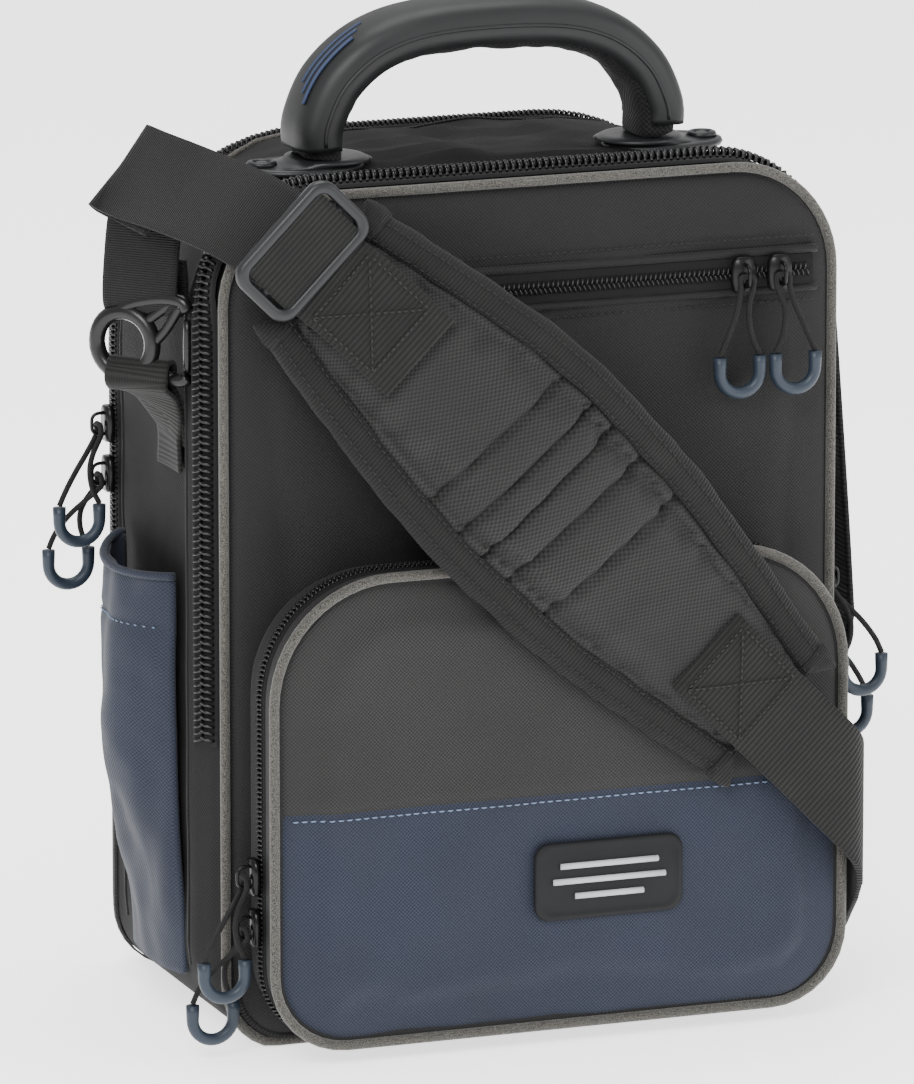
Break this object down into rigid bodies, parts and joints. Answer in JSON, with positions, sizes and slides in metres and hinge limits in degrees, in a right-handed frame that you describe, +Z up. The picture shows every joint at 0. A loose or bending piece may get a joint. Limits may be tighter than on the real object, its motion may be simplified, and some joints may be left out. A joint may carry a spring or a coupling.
{
  "type": "flight bag",
  "caption": "Upright padded bag with a zipped fold-down front door, front and side pockets, rear compartment, top handle, padded shoulder strap and zip pulls.",
  "frame": {"origin": "middle of the flat base, on the floor", "axes": "+X to the right seen from the front, -Y out of the front panel, +Z up"},
  "size_m": [0.3158, 0.2016, 0.3956],
  "materials": {
    "black_nylon": "black ballistic nylon over foam",
    "navy_nylon": "navy nylon",
    "charcoal_nylon": "charcoal nylon",
    "quilted_nylon": "quilted padded nylon with bound edges",
    "lining": "lining over foam",
    "webbing": "ribbed nylon webbing",
    "melange_piping": "grey melange piping",
    "coil_zip": "coil zipper on woven tape",
    "braided_cord": "braided cord",
    "stiffener_board": "stiffener board",
    "moulded_plastic": "moulded plastic",
    "handle_rubber": "soft rubber",
    "patch_rubber": "moulded patch with plain bars",
    "slate_rubber": "slate blue rubber",
    "slider_metal": "black lacquered zinc"
  },
  "bodies": {
    "bag": {"main_shell": "black_nylon", "base_board": "stiffener_board", "padded_divider": "lining", "back_wall": "lining", "rear_shell": "black_nylon", "side_pocket_left": "navy_nylon", "side_pocket_right": "navy_nylon", "anchor_tab_left": "webbing", "anchor_tab_right": "webbing", "handle_base_left": "moulded_plastic", "handle_base_right": "moulded_plastic", "pocket_lower": "navy_nylon", "badge_patch": "patch_rubber", "main_zip_chain": "coil_zip", "rear_zip_chain": "coil_zip", "pocket_zip_lower": "coil_zip", "pocket_piping_lower": "melange_piping", "strap_side_webbing": "webbing"},
    "front_door": {"front_panel": "black_nylon", "upper_pocket_face": "black_nylon", "pocket_upper": "charcoal_nylon", "pocket_zip_upper": "coil_zip", "upper_pocket_zip": "coil_zip", "front_panel_piping": "melange_piping", "pocket_piping_upper": "melange_piping", "shoulder_pad": "quilted_nylon", "strap_webbing_upper": "webbing", "strap_webbing_lower": "webbing"},
    "rear_flap": {"rear_flap": "black_nylon"},
    "carry_handle": {"handle_grip": "handle_rubber", "handle_cover": "handle_rubber"},
    "strap_glide": {"tri_glide": "moulded_plastic"},
    "left_hook": {"snap_hook_left": "moulded_plastic"},
    "right_hook": {"snap_hook_right": "moulded_plastic"},
    "left_gate": {"hook_gate_left": "moulded_plastic"},
    "right_gate": {"hook_gate_right": "moulded_plastic"},
    "main_slider_a": {"main_slider_a": "slider_metal"},
    "main_pull_a": {"main_cord_a": "braided_cord", "main_grip_a": "slate_rubber"},
    "main_slider_b": {"main_slider_b": "slider_metal"},
    "main_pull_b": {"main_cord_b": "braided_cord", "main_grip_b": "slate_rubber"},
    "rear_slider_a": {"rear_slider_a": "slider_metal"},
    "rear_pull_a": {"rear_cord_a": "braided_cord", "rear_grip_a": "slate_rubber"},
    "rear_slider_b": {"rear_slider_b": "slider_metal"},
    "rear_pull_b": {"rear_cord_b": "braided_cord", "rear_grip_b": "slate_rubber"},
    "pocket_slider_a": {"pocket_slider_a": "slider_metal"},
    "pocket_pull_a": {"pocket_cord_a": "braided_cord", "pocket_grip_a": "slate_rubber"},
    "pocket_slider_b": {"pocket_slider_b": "slider_metal"},
    "pocket_pull_b": {"pocket_cord_b": "braided_cord", "pocket_grip_b": "slate_rubber"},
    "upper_slider_a": {"upper_slider_a": "slider_metal"},
    "upper_pull_a": {"upper_cord_a": "braided_cord", "upper_grip_a": "slate_rubber"},
    "upper_slider_b": {"upper_slider_b": "slider_metal"},
    "upper_pull_b": {"upper_cord_b": "braided_cord", "upper_grip_b": "slate_rubber"}
  },
  "joints": [
    {"name": "front_door_hinge", "type": "hinge", "parent": "bag", "child": "front_door", "pos_m": [0, -0.093, 0.10515], "axis": [1, 0, 0], "range_deg": [0, 50], "deforming": ["shoulder_pad", "strap_webbing_upper", "strap_webbing_lower"]},
    {"name": "rear_flap_hinge", "type": "hinge", "parent": "bag", "child": "rear_flap", "pos_m": [0, 0.0923, 0.17015], "axis": [-1, 0, 0], "range_deg": [0, 35]},
    {"name": "carry_handle_sway", "type": "hinge", "parent": "bag", "child": "carry_handle", "pos_m": [0, -0.005, 0.3385], "axis": [1, 0, 0], "range_deg": [-15, 15], "stiffness_Nm_per_rad": 1},
    {"name": "strap_glide_slide", "type": "slide", "parent": "front_door", "child": "strap_glide", "axis": [-0.7071, 0, 0.7071], "range_m": [0, 0.01]},
    {"name": "left_hook_tilt", "type": "hinge", "parent": "bag", "child": "left_hook", "pos_m": [-0.14321, -0.01563, 0.258], "axis": [0.7071, -0.7071, 0], "range_deg": [0, 20]},
    {"name": "right_hook_tilt", "type": "hinge", "parent": "bag", "child": "right_hook", "pos_m": [0.1298, -0.008, 0.258], "axis": [0, 1, 0], "range_deg": [0, 20], "deforming": ["strap_side_webbing"]},
    {"name": "left_gate_press", "type": "hinge", "parent": "left_hook", "child": "left_gate", "pos_m": [-0.12935, -0.02949, 0.2805], "axis": [0.7071, 0.7071, 0], "range_deg": [0, 12], "stiffness_Nm_per_rad": 0.05, "springref_deg": -11.46},
    {"name": "right_gate_press", "type": "hinge", "parent": "right_hook", "child": "right_gate", "pos_m": [0.1298, -0.0276, 0.2805], "axis": [1, 0, 0], "range_deg": [0, 12], "stiffness_Nm_per_rad": 0.05, "springref_deg": -11.46},
    {"name": "main_zip_a_slide", "type": "slide", "parent": "bag", "child": "main_slider_a", "axis": [0, 0, 1], "range_m": [0, 0.115]},
    {"name": "main_pull_a_swing", "type": "hinge", "parent": "main_slider_a", "child": "main_pull_a", "pos_m": [0.1329, -0.038, 0.162], "axis": [0, -1, 0], "range_deg": [0, 120]},
    {"name": "main_zip_b_slide", "type": "slide", "parent": "bag", "child": "main_slider_b", "axis": [0, 0, -1], "range_m": [0, 0.02]},
    {"name": "main_pull_b_swing", "type": "hinge", "parent": "main_slider_b", "child": "main_pull_b", "pos_m": [0.1329, -0.038, 0.142], "axis": [0, -1, 0], "range_deg": [0, 120]},
    {"name": "rear_zip_a_slide", "type": "slide", "parent": "bag", "child": "rear_slider_a", "axis": [0, 0, 1], "range_m": [0, 0.02]},
    {"name": "rear_pull_a_swing", "type": "hinge", "parent": "rear_slider_a", "child": "rear_pull_a", "pos_m": [-0.1329, 0.0675, 0.222], "axis": [0, 1, 0], "range_deg": [0, 120]},
    {"name": "rear_zip_b_slide", "type": "slide", "parent": "bag", "child": "rear_slider_b", "axis": [0, 0, -1], "range_m": [0, 0.022]},
    {"name": "rear_pull_b_swing", "type": "hinge", "parent": "rear_slider_b", "child": "rear_pull_b", "pos_m": [-0.1329, 0.0675, 0.202], "axis": [0, 1, 0], "range_deg": [0, 120]},
    {"name": "pocket_zip_a_slide", "type": "slide", "parent": "bag", "child": "pocket_slider_a", "axis": [0, 0, 1], "range_m": [0, 0.02]},
    {"name": "pocket_pull_a_swing", "type": "hinge", "parent": "pocket_slider_a", "child": "pocket_pull_a", "pos_m": [-0.1229, -0.0734, 0.073], "axis": [0, 1, 0], "range_deg": [0, 120]},
    {"name": "pocket_zip_b_slide", "type": "slide", "parent": "bag", "child": "pocket_slider_b", "axis": [0, 0, -1], "range_m": [0, 0.005]},
    {"name": "pocket_pull_b_swing", "type": "hinge", "parent": "pocket_slider_b", "child": "pocket_pull_b", "pos_m": [-0.1229, -0.0734, 0.053], "axis": [0, 1, 0], "range_deg": [0, 120]},
    {"name": "upper_zip_a_slide", "type": "slide", "parent": "front_door", "child": "upper_slider_a", "axis": [-1, 0, 0], "range_m": [0, 0.072]},
    {"name": "upper_pull_a_swing", "type": "hinge", "parent": "upper_slider_a", "child": "upper_pull_a", "pos_m": [0.084, -0.0692, 0.291], "axis": [-1, 0, 0], "range_deg": [0, 120]},
    {"name": "upper_zip_b_slide", "type": "slide", "parent": "front_door", "child": "upper_slider_b", "axis": [1, 0, 0], "range_m": [0, 0.01]},
    {"name": "upper_pull_b_swing", "type": "hinge", "parent": "upper_slider_b", "child": "upper_pull_b", "pos_m": [0.099, -0.0692, 0.291], "axis": [-1, 0, 0], "range_deg": [0, 120]}
  ]
}
